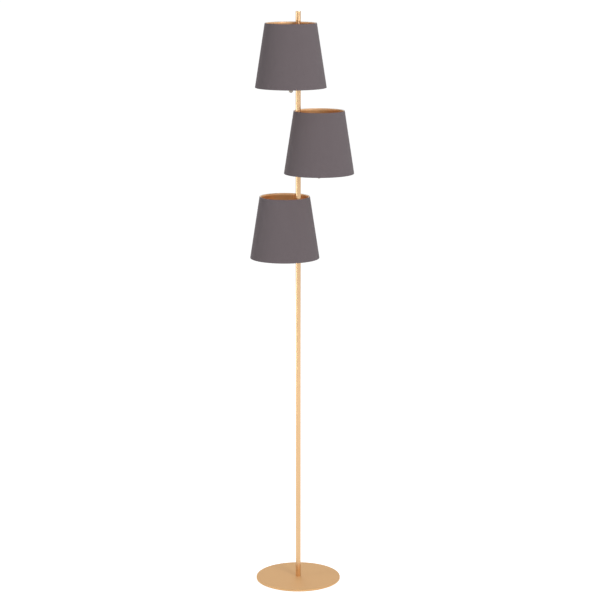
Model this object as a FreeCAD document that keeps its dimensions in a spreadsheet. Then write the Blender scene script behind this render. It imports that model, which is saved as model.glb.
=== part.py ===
import FreeCAD, Part
import os
import Sketcher

# A floor lamp: a round flat foot, a slim pole, and three tapered fabric shades.
# Each shade hangs on a short arm that swivels about the pole.  Millimetres, with
# the origin on the floor under the pole's axis, +Z up, and the front facing -Y.
# A head's own frame has its origin on the pole's axis in the plane of the shade's
# lower rim, with +X from the pole towards the shade's axis.

Vector = FreeCAD.Vector
Z_AXIS = Vector(0, 0, 1)
Y_AXIS = Vector(0, 1, 0)

# Names for the sketcher's point numbers, and how near two measures count as equal.
LINE_START = 1
LINE_END = 2
CENTRE = 3
SAME_PLACE = 1e-3
SAME_DIRECTION = 1e-6
LEAST_CUT = 1e-6

SIZES = [
    # The foot.
    ("base_diameter", 250, "flat round foot"),
    ("base_thickness", 5, "steel plate of the foot"),
    ("base_edge_radius", 1.2, "rounding of the plate's upper edge"),
    ("felt_thickness", 1, "pad under the foot"),
    ("felt_inset", 3, "how far the pad stays inside the plate's edge"),
    ("base_screw_diameter", 8, "countersunk screw that holds the pole"),
    ("screw_head_diameter", 16, "its head, flush with the plate's underside"),
    ("screw_head_height", 4, "depth of the countersink"),
    ("screw_reach", 18, "how far the screw goes into the foot insert"),
    ("screw_end_space", 1, "free depth beyond the screw's end"),
    ("screw_socket_width", 5, "hexagon socket across its flats"),
    ("screw_socket_depth", 2.5, "depth of the hexagon socket"),
    ("foot_insert_length", 26, "threaded plug in the pole's lower end"),
    # The pole.
    ("pole_diameter", 15, "outside of every pole tube"),
    ("pole_wall", 1.2, "wall of every pole tube"),
    ("lower_tube_length", 514, "tube from the foot to the coupler"),
    ("coupler_length", 80, "sleeve inside the joint of the two long tubes"),
    ("coupler_wall", 1.6, "wall of that sleeve"),
    ("top_tube_length", 186.55, "tube above the top hub"),
    ("cap_head", 1.6, "visible thickness of the pole's cap"),
    ("cap_plug", 8, "part of the cap inside the tube"),
    ("cap_edge_radius", 0.7, "rounding of the cap"),
    ("fit_gap", 0.05, "gap between a fixed piece and its seat"),
    # The cord's inlet, at the back of the lower tube.
    ("inlet_height", 45, "floor to the inlet's axis"),
    ("inlet_bore", 5.4, "hole for the cord"),
    ("inlet_neck", 7, "part of the bush in the tube's wall"),
    ("inlet_flange", 9.4, "outer rim of the bush"),
    ("inlet_stand_out", 1.7, "how far the bush stands out of the tube"),
    ("inlet_tail", 1.3, "how far the bush reaches past the tube's inner wall"),
    # The leads inside.
    ("lead_diameter", 5, "two-core lead inside the pole and the arms"),
    ("lead_bore", 6.5, "bore of every rod that a lead passes through"),
    ("lead_bend", 4.5, "bend of a lead inside the holder block"),
    ("lead_start", 60, "floor to the lower end of the pole's lead"),
    ("lead_entry_gap", 0.5, "gap between a head's lead and the stem"),
    ("lead_end", 1, "how far a head's lead stands out of the nipple"),
    # The three swivels.
    ("stem_diameter", 10, "hollow rod that joins two tubes through a hub"),
    ("stem_grip", 12, "length of the rod inside each insert"),
    ("stem_slot_height", 7, "window in the rod for the leads"),
    ("stem_slot_width", 4, "width of that window"),
    ("insert_plug", 16, "part of a tube insert inside its tube"),
    ("insert_flange", 20, "diameter of an insert's flange"),
    ("insert_flange_height", 3, "thickness of that flange"),
    ("washer_diameter", 13.6, "sliding washer above and below a hub"),
    ("washer_thickness", 0.8, "thickness of that washer"),
    ("running_gap", 0.05, "radial and axial gap of a turning fit"),
    ("hub_diameter", 22, "turned hub round the rod"),
    ("hub_height", 18, "height of the hub"),
    ("hub_edge_radius", 1, "rounding of the hub's edges"),
    ("hub_chamber_diameter", 16, "wiring space inside the hub"),
    ("hub_chamber_height", 8, "height of that space"),
    ("stop_pin_diameter", 1.6, "pin that limits a head's turn"),
    ("stop_pin_circle", 8, "distance of the pin from the pole's axis"),
    ("stop_pin_height", 2.2, "how far the pin stands above the flange"),
    ("stop_groove_depth", 2.2, "depth of the arc groove in the hub"),
    ("stop_groove_play", 0.4, "extra width of that groove"),
    ("turn_limit_angle", 150, "degrees that a head turns each way from rest"),
    # The arms and the lampholders.
    ("arm_height", 10, "lower rim of the shade up to the arm's axis"),
    ("arm_reach", 61, "pole's axis to the shade's axis"),
    ("arm_diameter", 10, "outside of the arm"),
    ("arm_seat", 2.6, "length of the arm inside the hub's wall"),
    ("block_diameter", 18, "block at the arm's end"),
    ("block_height", 18, "height of the block"),
    ("block_seat", 5, "length of the arm inside the block"),
    ("block_edge_radius", 1, "rounding of the block's edges"),
    ("nose_diameter", 12.4, "turned nose under the block"),
    ("nose_drop", 15, "lower rim of the shade down to the nose's tip"),
    ("nose_radius", 5.6, "rounding of the nose"),
    ("nipple_height", 8, "threaded end above the block"),
    ("holder_base_height", 22, "lower shell of the lampholder"),
    ("holder_base_foot", 26, "diameter of the lower shell's foot"),
    ("holder_base_floor", 3, "floor of the lower shell"),
    ("holder_diameter", 39, "outside of the lampholder's body"),
    ("holder_wall", 2.4, "wall of the lower shell"),
    ("holder_spigot", 4, "part of the body inside the lower shell"),
    ("holder_body_height", 35, "body of the lampholder"),
    ("holder_ledge", 2, "ledge that carries the contact insert"),
    ("holder_ledge_bore", 18, "hole through that ledge"),
    ("holder_flange", 46, "collar that carries the shade"),
    ("holder_flange_height", 3, "thickness of the collar"),
    ("holder_flange_rise", 3, "shell's top to the collar's underside"),
    ("holder_bore", 27.4, "bore that takes the lamp's cap"),
    ("contact_disc_height", 5, "ceramic disc with the contacts"),
    ("contact_button", 7, "diameter of the centre contact"),
    ("contact_button_height", 2.4, "height of the centre contact"),
    ("contact_post", 4, "diameter of each terminal post"),
    ("contact_post_drop", 6, "length of the posts under the disc"),
    ("contact_post_circle", 5, "distance of each post from the axis"),
    ("ring_nut_inset", 4, "how far the shade's ring nut stays inside its plate"),
    ("ring_nut_height", 8, "height of that ring"),
    ("ring_nut_lip", 2, "thickness of its wide lower edge"),
    ("ring_nut_wall", 2.6, "wall of the ring above that edge"),
    # The lamps: a common pear shape on a 27 mm screw cap.
    ("lamp_cap_diameter", 26.4, "screw cap"),
    ("lamp_cap_wall", 0.5, "sheet of the screw cap"),
    ("lamp_cap_height", 25, "screw cap with its contact"),
    ("lamp_cap_step", 4, "insulated foot of the cap"),
    ("lamp_contact", 9, "diameter of the cap's contact"),
    ("lamp_length", 105, "contact to the top of the glass"),
    ("lamp_glass_diameter", 60, "widest part of the glass"),
    ("lamp_neck_diameter", 24.8, "glass where it enters the cap"),
    ("lamp_neck_overlap", 3, "length of the neck inside the cap"),
    ("lamp_glass_wall", 0.9, "wall of the glass"),
    ("lamp_shoulder_angle", 40, "degrees below the glass's widest level where the neck starts"),
    # The shades.
    ("shade_lower_diameter", 203, "lower rim"),
    ("shade_upper_diameter", 147, "upper rim"),
    ("shade_height", 181, "rim to rim"),
    ("fabric_thickness", 0.9, "fabric on its stiff backing"),
    ("hem_width", 3.6, "turned-in edge at both rims"),
    ("lining_thickness", 0.4, "gold foil inside"),
    ("lower_wire", 3, "wire of the lower ring and the struts"),
    ("upper_wire", 2.4, "wire of the upper ring"),
    ("strut_count", 3, "struts of the shade carrier"),
    ("fitter_diameter", 58, "plate of the shade carrier"),
    ("fitter_thickness", 1.8, "thickness of that plate"),
    # Where the heads stand.
    ("top_head_height", 1473, "floor to the lower rim of the top shade"),
    ("head_pitch", 253, "one head to the next"),
    ("top_head_angle", -110, "degrees of the top arm, from +X towards +Y"),
    ("head_step_angle", 120, "degrees that each lower arm points further round"),
]

doc = FreeCAD.newDocument("pole_lamp")
sheet = doc.addObject("Spreadsheet::Sheet", "Sizes")
for row, (alias, value, meaning) in enumerate(SIZES, start=1):
    sheet.set("A%d" % row, alias)
    sheet.set("B%d" % row, str(value))
    sheet.setAlias("B%d" % row, alias)
    sheet.set("C%d" % row, meaning)
doc.recompute()

SUB_PARTS = []


# ---------------------------------------------------------------- expressions

def size(alias):
    """The expression that reads one cell of the sheet."""
    return "Sizes." + alias


def half(alias):
    return "Sizes.%s / 2" % alias


def value_of(owner, expression):
    """The number that an expression gives now."""
    result = owner.evalExpression(str(expression))
    return float(result.Value) if hasattr(result, "Value") else float(result)


POLE_BORE = "(Sizes.pole_diameter / 2 - Sizes.pole_wall)"
PLUG_RADIUS = "(%s - Sizes.fit_gap)" % POLE_BORE
PLATE_BOTTOM = size("felt_thickness")
PLATE_TOP = "(Sizes.felt_thickness + Sizes.base_thickness)"
TUBE_JOINT = "(%s + Sizes.lower_tube_length)" % PLATE_TOP
HUB_BOTTOM = "(Sizes.arm_height - Sizes.hub_height / 2)"
HUB_TOP = "(Sizes.arm_height + Sizes.hub_height / 2)"
WASHER_STACK = "(Sizes.washer_thickness + Sizes.running_gap)"
FLANGE_BELOW = "(%s - %s)" % (HUB_BOTTOM, WASHER_STACK)
FLANGE_ABOVE = "(%s + %s)" % (HUB_TOP, WASHER_STACK)
TUBE_END_BELOW = "(%s - Sizes.insert_flange_height)" % FLANGE_BELOW
TUBE_END_ABOVE = "(%s + Sizes.insert_flange_height)" % FLANGE_ABOVE
BLOCK_BOTTOM = "(Sizes.arm_height - Sizes.block_height / 2)"
BLOCK_TOP = "(Sizes.arm_height + Sizes.block_height / 2)"
SHELL_TOP = "(%s + Sizes.holder_base_height)" % BLOCK_TOP
COLLAR_TOP = "(%s + Sizes.holder_flange_rise + Sizes.holder_flange_height)" % SHELL_TOP
CARRIER_TOP = "(%s + Sizes.fitter_thickness + 2 * Sizes.fit_gap)" % COLLAR_TOP
LEDGE_TOP = "(%s + Sizes.holder_ledge)" % SHELL_TOP
CONTACT_TOP = ("(%s + Sizes.contact_disc_height + Sizes.contact_button_height"
               " + 2 * Sizes.fit_gap)" % LEDGE_TOP)
LAMP_FOOT = "(%s + Sizes.fit_gap)" % CONTACT_TOP
HOLDER_TOP = "(%s + Sizes.holder_body_height)" % SHELL_TOP
SHADE_SLOPE = "((Sizes.shade_lower_diameter - Sizes.shade_upper_diameter) / 2 / Sizes.shade_height)"
SLANT = "sqrt(1 + %s ^ 2)" % SHADE_SLOPE


def head_height(index):
    """Lower rim plane of a head: 0 is the top head and 2 the lowest."""
    return "(Sizes.top_head_height - %d * Sizes.head_pitch)" % index


def head_turn(index):
    return "(Sizes.top_head_angle + %d * Sizes.head_step_angle)" % index


TOP_TUBE_START = "(%s + %s)" % (head_height(0), TUBE_END_ABOVE)
TOP_TUBE_END = "(%s + Sizes.top_tube_length)" % TOP_TUBE_START


def shade_radius(height, inset="0"):
    """Radius inside the shade's slanted wall, an inset in from its outer face."""
    return "(Sizes.shade_lower_diameter / 2 - %s * (%s) - (%s) * %s)" % (
        SHADE_SLOPE, height, inset, SLANT)


# ------------------------------------------------------------------- features

def new_body(label):
    body = doc.addObject("PartDesign::Body", label)
    body.Label = label
    SUB_PARTS.append(body)
    return body


def origin_feature(body, role):
    return [item for item in body.Origin.OriginFeatures if item.Role == role][0]


def new_sketch(body, role, name, lift=None):
    """A sketch on one of the body's own planes, lifted along its normal."""
    sketch = body.newObject("Sketcher::SketchObject", name)
    sketch.AttachmentSupport = (origin_feature(body, role), [""])
    sketch.MapMode = "FlatFace"
    if lift is not None:
        sketch.setExpression("AttachmentOffset.Base.z", lift)
    return sketch


def bind(sketch, kind, where, expression):
    """One driving dimension of a sketch, tied to the sheet."""
    now = value_of(sketch, expression)
    if kind == "DistanceX" and str(expression) == "0":
        sketch.addConstraint(Sketcher.Constraint("PointOnObject", where[0], where[1], -2))
        return
    if kind == "DistanceY" and str(expression) == "0":
        sketch.addConstraint(Sketcher.Constraint("PointOnObject", where[0], where[1], -1))
        return
    number = sketch.addConstraint(Sketcher.Constraint(kind, *where, now))
    if "Sizes." in str(expression):
        sketch.setExpression("Constraints[%d]" % number, str(expression))


def arc_centre(start, end, radius, left):
    """Centre of the arc from start to end, on the left or right of its chord."""
    chord = end - start
    rise = max(radius ** 2 - chord.Length ** 2 / 4, 0) ** 0.5
    side = Vector(-chord.y, chord.x, 0).normalize() * (rise if left else -rise)
    return (start + end) / 2 + side


def outline(sketch, points, arcs=None):
    """A closed outline.  arcs gives, for the side that leaves a point, its radius,
    whether the centre lies left of the chord, and whether it runs clockwise."""
    arcs = arcs or {}
    places = [Vector(value_of(sketch, x), value_of(sketch, y), 0) for x, y in points]
    for number, start in enumerate(places):
        end = places[(number + 1) % len(places)]
        if number in arcs:
            radius_text, left, clockwise = arcs[number]
            radius = value_of(sketch, radius_text)
            centre = arc_centre(start, end, radius, left)
            circle = Part.Circle(centre, Z_AXIS, radius)
            first, last = circle.parameter(start), circle.parameter(end)
            if clockwise:
                first, last = last, first
            sketch.addGeometry(Part.ArcOfCircle(circle, first, last), False)
        else:
            sketch.addGeometry(Part.LineSegment(start, end), False)
    starts = []
    ends = []
    for number in range(len(places)):
        clockwise = number in arcs and arcs[number][2]
        starts.append(LINE_END if clockwise else LINE_START)
        ends.append(LINE_START if clockwise else LINE_END)
    for number in range(len(places)):
        after = (number + 1) % len(places)
        sketch.addConstraint(Sketcher.Constraint(
            "Coincident", number, ends[number], after, starts[after]))
    for number, (x, y) in enumerate(points):
        bind(sketch, "DistanceX", (number, starts[number]), x)
        bind(sketch, "DistanceY", (number, starts[number]), y)
        if number in arcs:
            bind(sketch, "Radius", (number,), arcs[number][0])
    return sketch


def circle(sketch, x, y, radius):
    number = sketch.addGeometry(
        Part.Circle(Vector(value_of(sketch, x), value_of(sketch, y), 0), Z_AXIS,
                    value_of(sketch, radius)), False)
    bind(sketch, "DistanceX", (number, CENTRE), x)
    bind(sketch, "DistanceY", (number, CENTRE), y)
    bind(sketch, "Radius", (number,), radius)
    return sketch


def revolve(body, name, points, arcs=None):
    """Turn an outline of radius and height about the body's own Z axis."""
    sketch = outline(new_sketch(body, "XZ_Plane", name + "_outline"), points, arcs)
    return full_turn(body, name, sketch)


def ring(body, name, radius, height, section):
    """A torus: a round wire bent to a circle about Z."""
    sketch = circle(new_sketch(body, "XZ_Plane", name + "_section"), radius, height, section)
    return full_turn(body, name, sketch)


def full_turn(body, name, sketch):
    feature = body.newObject("PartDesign::Revolution", name)
    feature.Profile = (sketch, [""])
    feature.ReferenceAxis = (sketch, ["V_Axis"])
    feature.Angle = 360
    return feature


def extrude(body, kind, sketch, name, length, reverse=False, both_ways=False):
    """Pad or Pocket a sketch.  A pad follows the sketch's normal and a pocket
    goes against it, unless reverse is set."""
    feature = body.newObject("PartDesign::" + kind, name)
    feature.Profile = (sketch, [""])
    feature.setExpression("Length", length)
    feature.Reversed = reverse
    feature.Midplane = both_ways
    return feature


def checked_cut(body, make):
    """Make a cutting feature and see that it took material away."""
    doc.recompute()
    before = body.Shape.Volume
    feature = make()
    doc.recompute()
    if body.Shape.Volume > before - LEAST_CUT:
        raise RuntimeError(body.Label + ": a cut removes nothing")
    return feature


def round_edges(body, name, radius, chosen):
    """Fillet the circular edges at the chosen (radius, height) places, given in
    the body's own frame."""
    doc.recompute()
    places = [(value_of(body, r), value_of(body, z)) for r, z in chosen]
    base = body.Tip
    names = []
    for number, edge in enumerate(base.Shape.Edges, start=1):
        curve = edge.Curve
        if not isinstance(curve, Part.Circle) or abs(abs(curve.Axis.z) - 1) > SAME_DIRECTION:
            continue
        for wanted_radius, wanted_height in places:
            if (abs(curve.Radius - wanted_radius) < SAME_PLACE
                    and abs(curve.Center.z - wanted_height) < SAME_PLACE):
                names.append("Edge%d" % number)
    feature = body.newObject("PartDesign::Fillet", name)
    feature.Base = (base, names)
    feature.setExpression("Radius", radius)
    doc.recompute()
    return feature


def place(body, height="0", offset="0", turn="0"):
    """Put a body at a height, an offset out from the pole's axis in the direction
    turn, and turned with it."""
    body.Placement = FreeCAD.Placement(Vector(0, 0, 0), FreeCAD.Rotation(Z_AXIS, 0))
    body.setExpression("Placement.Base.z", height)
    if offset != "0":
        body.setExpression("Placement.Base.x", "(%s) * cos(%s)" % (offset, turn))
        body.setExpression("Placement.Base.y", "(%s) * sin(%s)" % (offset, turn))
    if turn != "0":
        body.setExpression("Placement.Rotation.Angle", turn)


def tube(label, inner, outer, bottom, top):
    """A plain tube about the pole's axis, between two heights from the floor."""
    body = new_body(label)
    length = "(%s) - (%s)" % (top, bottom)
    revolve(body, label + "_wall",
            [(inner, "0"), (outer, "0"), (outer, length), (inner, length)])
    place(body, bottom)
    return body


# ------------------------------------------------------------------- the foot

def make_base_plate():
    """Steel disc with a countersunk hole for the pole's screw."""
    body = new_body("base_plate")
    edge = half("base_diameter")
    hole = "(Sizes.base_screw_diameter / 2 + 2 * Sizes.fit_gap)"
    sink = "(Sizes.screw_head_diameter / 2 + 2 * Sizes.fit_gap)"
    revolve(body, "disc", [
        (sink, "0"), (edge, "0"), (edge, size("base_thickness")),
        (hole, size("base_thickness")), (hole, size("screw_head_height"))])
    round_edges(body, "rounded_edge", size("base_edge_radius"), [(edge, size("base_thickness"))])
    place(body, PLATE_BOTTOM)


def make_base_felt():
    """Pad under the plate, open in the middle so that the screw can be reached."""
    body = new_body("base_felt")
    inner = "(Sizes.screw_head_diameter / 2 + Sizes.felt_inset)"
    outer = "(Sizes.base_diameter / 2 - Sizes.felt_inset)"
    thick = size("felt_thickness")
    revolve(body, "pad", [(inner, "0"), (outer, "0"), (outer, thick), (inner, thick)])
    place(body)


def hexagon(sketch, width):
    """Regular hexagon about the sketch's origin, given across its flats."""
    corner = "(%s) / sqrt(3)" % width
    flat = "(%s) / 2" % width
    outline(sketch, [
        (corner, "0"), (corner + " / 2", flat), ("-%s / 2" % corner, flat),
        ("-" + corner, "0"), ("-%s / 2" % corner, "-" + flat), (corner + " / 2", "-" + flat)])


def make_base_screw():
    """Countersunk screw up through the plate into the foot insert."""
    body = new_body("base_screw")
    head = half("screw_head_diameter")
    shank = half("base_screw_diameter")
    top = "(Sizes.base_thickness + Sizes.screw_reach)"
    revolve(body, "screw", [
        ("0", "0"), (head, "0"), (shank, size("screw_head_height")), (shank, top), ("0", top)])
    doc.recompute()
    sketch = new_sketch(body, "XY_Plane", "socket_outline")
    hexagon(sketch, size("screw_socket_width"))
    checked_cut(body, lambda: extrude(
        body, "Pocket", sketch, "socket", size("screw_socket_depth"), reverse=True))
    place(body, PLATE_BOTTOM)


def make_foot_insert():
    """Threaded plug in the lower end of the pole."""
    body = new_body("foot_insert")
    hole = "(Sizes.base_screw_diameter / 2 + Sizes.fit_gap)"
    depth = "(Sizes.screw_reach + Sizes.screw_end_space)"
    length = size("foot_insert_length")
    revolve(body, "plug", [
        (hole, "0"), (PLUG_RADIUS, "0"), (PLUG_RADIUS, length), ("0", length),
        ("0", depth), (hole, depth)])
    place(body, PLATE_TOP)


# ------------------------------------------------------------------- the pole

def make_pole_tubes():
    outer = half("pole_diameter")
    lower = tube("lower_tube", POLE_BORE, outer, PLATE_TOP, TUBE_JOINT)
    doc.recompute()
    sketch = new_sketch(lower, "XZ_Plane", "inlet_hole_outline")
    circle(sketch, "0", "Sizes.inlet_height - %s" % PLATE_TOP,
           "(Sizes.inlet_neck / 2 + Sizes.fit_gap)")
    checked_cut(lower, lambda: extrude(
        lower, "Pocket", sketch, "inlet_hole", size("pole_diameter")))
    tube("middle_tube", POLE_BORE, outer, TUBE_JOINT,
         "(%s + %s)" % (head_height(2), TUBE_END_BELOW))
    for index, label in ((2, "lower_link_tube"), (1, "upper_link_tube")):
        tube(label, POLE_BORE, outer,
             "(%s + %s)" % (head_height(index), TUBE_END_ABOVE),
             "(%s + %s)" % (head_height(index - 1), TUBE_END_BELOW))
    tube("top_tube", POLE_BORE, outer, TOP_TUBE_START, TOP_TUBE_END)
    tube("tube_coupler", "(%s - Sizes.coupler_wall)" % PLUG_RADIUS, PLUG_RADIUS,
         "(%s - Sizes.coupler_length / 2)" % TUBE_JOINT,
         "(%s + Sizes.coupler_length / 2)" % TUBE_JOINT)


def make_top_cap():
    """Flat cap whose plug fills the end of the top tube."""
    body = new_body("top_cap")
    outer = half("pole_diameter")
    plug = "(-Sizes.cap_plug)"
    head = size("cap_head")
    revolve(body, "cap", [
        ("0", plug), (PLUG_RADIUS, plug), (PLUG_RADIUS, "0"), (outer, "0"),
        (outer, head), ("0", head)])
    round_edges(body, "rounded_edge", size("cap_edge_radius"), [(outer, head)])
    place(body, TOP_TUBE_END)


def make_cable_bush():
    """Bush in the back of the lower tube, shaped to sit on its round wall."""
    body = new_body("cable_bush")
    flange = new_sketch(body, "XZ_Plane", "flange_outline")
    circle(flange, "0", "0", half("inlet_flange"))
    extrude(body, "Pad", flange, "flange",
            "(Sizes.pole_diameter / 2 + Sizes.inlet_stand_out)", reverse=True)
    saddle = new_sketch(body, "XY_Plane", "saddle_outline")
    circle(saddle, "0", "0", "(Sizes.pole_diameter / 2 + Sizes.fit_gap)")
    checked_cut(body, lambda: extrude(
        body, "Pocket", saddle, "saddle", "2 * Sizes.inlet_flange", both_ways=True))
    neck = new_sketch(body, "XZ_Plane", "neck_outline", "-(%s - Sizes.inlet_tail)" % POLE_BORE)
    circle(neck, "0", "0", half("inlet_neck"))
    extrude(body, "Pad", neck, "neck",
            "(Sizes.pole_wall + Sizes.inlet_tail + Sizes.inlet_stand_out / 2)", reverse=True)
    bore = new_sketch(body, "XZ_Plane", "bore_outline")
    circle(bore, "0", "0", half("inlet_bore"))
    checked_cut(body, lambda: extrude(body, "Pocket", bore, "bore", size("pole_diameter")))
    place(body, size("inlet_height"))


def make_pole_lead():
    """Lead inside the pole, from above the inlet to the window of the top stem."""
    lead = new_body("pole_lead")
    top = "(%s + Sizes.arm_height - Sizes.lead_start)" % head_height(0)
    sketch = circle(new_sketch(lead, "XY_Plane", "lead_section"),
                    "0", "0", half("lead_diameter"))
    extrude(lead, "Pad", sketch, "lead", top)
    place(lead, size("lead_start"))


# ----------------------------------------------- the fixed side of the swivels

def join_solids(label, bodies):
    """Several like pieces in one node: a compound of separate solids."""
    group = doc.addObject("Part::Compound", label)
    group.Label = label
    group.Links = bodies
    for body in bodies:
        SUB_PARTS.remove(body)
    SUB_PARTS.append(group)


def make_stems():
    """Three hollow rods, each with a window towards its arm for the leads."""
    stems = []
    for index in range(3):
        body = new_body("stem_%d" % (index + 1))
        bottom = "(%s - Sizes.stem_grip)" % TUBE_END_BELOW
        top = "(%s + Sizes.stem_grip)" % TUBE_END_ABOVE
        bore = half("lead_bore")
        outer = half("stem_diameter")
        revolve(body, "rod", [(bore, bottom), (outer, bottom), (outer, top), (bore, top)])
        window = new_sketch(body, "YZ_Plane", "window_outline")
        side = half("stem_slot_width")
        low = "(Sizes.arm_height - Sizes.stem_slot_height / 2)"
        high = "(Sizes.arm_height + Sizes.stem_slot_height / 2)"
        outline(window, [("-" + side, low), (side, low), (side, high), ("-" + side, high)])
        checked_cut(body, lambda: extrude(
            body, "Pocket", window, "window", size("stem_diameter"), reverse=True))
        place(body, head_height(index), turn=head_turn(index))
        stems.append(body)
    join_solids("swivel_stems", stems)


def make_tube_inserts():
    """Six threaded plugs: one in each tube end beside a hub."""
    inserts = []
    for index in range(3):
        for side, seat, direction in (("lower", TUBE_END_BELOW, "1"),
                                      ("upper", TUBE_END_ABOVE, "-1")):
            body = new_body("%s_insert_%d" % (side, index + 1))
            bore = "(Sizes.stem_diameter / 2 + Sizes.fit_gap)"
            flange = half("insert_flange")
            deep = "(-%s * Sizes.insert_plug)" % direction
            thick = "(%s * Sizes.insert_flange_height)" % direction
            revolve(body, "plug", [
                (bore, deep), (PLUG_RADIUS, deep), (PLUG_RADIUS, "0"), (flange, "0"),
                (flange, thick), (bore, thick)])
            if side == "lower":
                doc.recompute()
                hole = new_sketch(body, "XY_Plane", "pin_hole_outline")
                circle(hole, size("stop_pin_circle"), "0",
                       "(Sizes.stop_pin_diameter / 2 + Sizes.fit_gap)")
                checked_cut(body, lambda: extrude(
                    body, "Pocket", hole, "pin_hole", size("insert_flange_height"),
                    reverse=True))
            place(body, "(%s + %s)" % (head_height(index), seat), turn=head_turn(index))
            inserts.append(body)
    join_solids("tube_inserts", inserts)


def make_washers():
    washers = []
    for index in range(3):
        for side, seat in (("lower", FLANGE_BELOW),
                           ("upper", "(%s - Sizes.washer_thickness)" % FLANGE_ABOVE)):
            washers.append(tube("%s_washer_%d" % (side, index + 1),
                                "(Sizes.stem_diameter / 2 + 2 * Sizes.fit_gap)",
                                half("washer_diameter"),
                                "(%s + %s)" % (head_height(index), seat),
                                "(%s + %s + Sizes.washer_thickness)" % (
                                    head_height(index), seat)))
    join_solids("swivel_washers", washers)


def make_stop_pins():
    """Pins in the lower flanges that run in the hubs' arc grooves."""
    pins = []
    for index in range(3):
        body = new_body("stop_pin_%d" % (index + 1))
        sketch = circle(new_sketch(body, "XY_Plane", "pin_section"),
                        size("stop_pin_circle"), "0", half("stop_pin_diameter"))
        extrude(body, "Pad", sketch, "pin",
                "(Sizes.insert_flange_height + Sizes.stop_pin_height)")
        place(body, "(%s + %s)" % (head_height(index), TUBE_END_BELOW), turn=head_turn(index))
        pins.append(body)
    join_solids("stop_pins", pins)


# ------------------------------------------------------------------ the heads

def make_hub(index):
    """Hub that turns on the stem, with a wiring chamber, a seat for the arm and an
    arc groove underneath for the stop pin."""
    body = new_body("swivel_hub_%d" % (index + 1))
    bore = "(Sizes.stem_diameter / 2 + Sizes.running_gap)"
    outer = half("hub_diameter")
    chamber = half("hub_chamber_diameter")
    low = "(Sizes.arm_height - Sizes.hub_chamber_height / 2)"
    high = "(Sizes.arm_height + Sizes.hub_chamber_height / 2)"
    revolve(body, "hub", [
        (bore, HUB_BOTTOM), (outer, HUB_BOTTOM), (outer, HUB_TOP), (bore, HUB_TOP),
        (bore, high), (chamber, high), (chamber, low), (bore, low)])
    round_edges(body, "rounded_edges", size("hub_edge_radius"),
                [(outer, HUB_BOTTOM), (outer, HUB_TOP)])
    seat = new_sketch(body, "YZ_Plane", "arm_seat_outline")
    circle(seat, "0", size("arm_height"), "(Sizes.arm_diameter / 2 + Sizes.fit_gap)")
    checked_cut(body, lambda: extrude(
        body, "Pocket", seat, "arm_seat", size("hub_diameter"), reverse=True))
    groove = new_sketch(body, "XY_Plane", "stop_groove_outline", HUB_BOTTOM)
    arc_groove(groove)
    checked_cut(body, lambda: extrude(
        body, "Pocket", groove, "stop_groove", size("stop_groove_depth"), reverse=True))
    place(body, head_height(index), turn=head_turn(index))


def arc_groove(sketch):
    """C-shaped slot about the origin, centred on +X and with straight ends."""
    wide = "(Sizes.stop_pin_diameter / 2 + Sizes.stop_groove_play / 2)"
    near = "(Sizes.stop_pin_circle - %s)" % wide
    far = "(Sizes.stop_pin_circle + %s)" % wide
    reach = "(Sizes.turn_limit_angle * 1 deg + asin(%s / %s))" % (wide, near)
    points = [("%s * cos(%s)" % (near, reach), "-%s * sin(%s)" % (near, reach)),
              ("%s * cos(%s)" % (far, reach), "-%s * sin(%s)" % (far, reach)),
              ("%s * cos(%s)" % (far, reach), "%s * sin(%s)" % (far, reach)),
              ("%s * cos(%s)" % (near, reach), "%s * sin(%s)" % (near, reach))]
    outline(sketch, points, {1: (far, False, False), 3: (near, True, True)})


def make_arm(index):
    """Hollow arm from the hub's wall into the holder block."""
    body = new_body("arm_tube_%d" % (index + 1))
    start = "(Sizes.hub_diameter / 2 - Sizes.arm_seat)"
    end = "(Sizes.arm_reach - Sizes.block_diameter / 2 + Sizes.block_seat)"
    section = new_sketch(body, "YZ_Plane", "arm_section", start)
    circle(section, "0", size("arm_height"), half("arm_diameter"))
    circle(section, "0", size("arm_height"), half("lead_bore"))
    extrude(body, "Pad", section, "arm", "(%s - %s)" % (end, start))
    place(body, head_height(index), turn=head_turn(index))


def make_block(index):
    """Turned block at the arm's end: a round nose below, a threaded end above."""
    body = new_body("holder_block_%d" % (index + 1))
    nose = half("nose_diameter")
    outer = half("block_diameter")
    nipple = half("stem_diameter")
    tip = "(-Sizes.nose_drop)"
    top = "(%s + Sizes.nipple_height)" % BLOCK_TOP
    bore = half("lead_bore")
    floor = "(Sizes.arm_height - Sizes.lead_bore / 2)"
    revolve(body, "block", [
        ("0", tip), (nose, tip), (nose, BLOCK_BOTTOM), (outer, BLOCK_BOTTOM),
        (outer, BLOCK_TOP), (nipple, BLOCK_TOP), (nipple, top), (bore, top),
        (bore, floor), ("0", floor)])
    round_edges(body, "rounded_nose", size("nose_radius"), [(nose, tip)])
    round_edges(body, "rounded_edges", size("block_edge_radius"),
                [(outer, BLOCK_BOTTOM), (outer, BLOCK_TOP)])
    seat = new_sketch(body, "YZ_Plane", "arm_seat_outline",
                      "-(Sizes.block_diameter / 2 - Sizes.block_seat - Sizes.fit_gap)")
    circle(seat, "0", size("arm_height"), "(Sizes.arm_diameter / 2 + Sizes.fit_gap)")
    checked_cut(body, lambda: extrude(
        body, "Pocket", seat, "arm_seat", size("block_diameter")))
    way = new_sketch(body, "YZ_Plane", "lead_way_outline")
    circle(way, "0", size("arm_height"), half("lead_bore"))
    checked_cut(body, lambda: extrude(
        body, "Pocket", way, "lead_way", size("block_diameter")))
    place(body, head_height(index), size("arm_reach"), head_turn(index))


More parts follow.
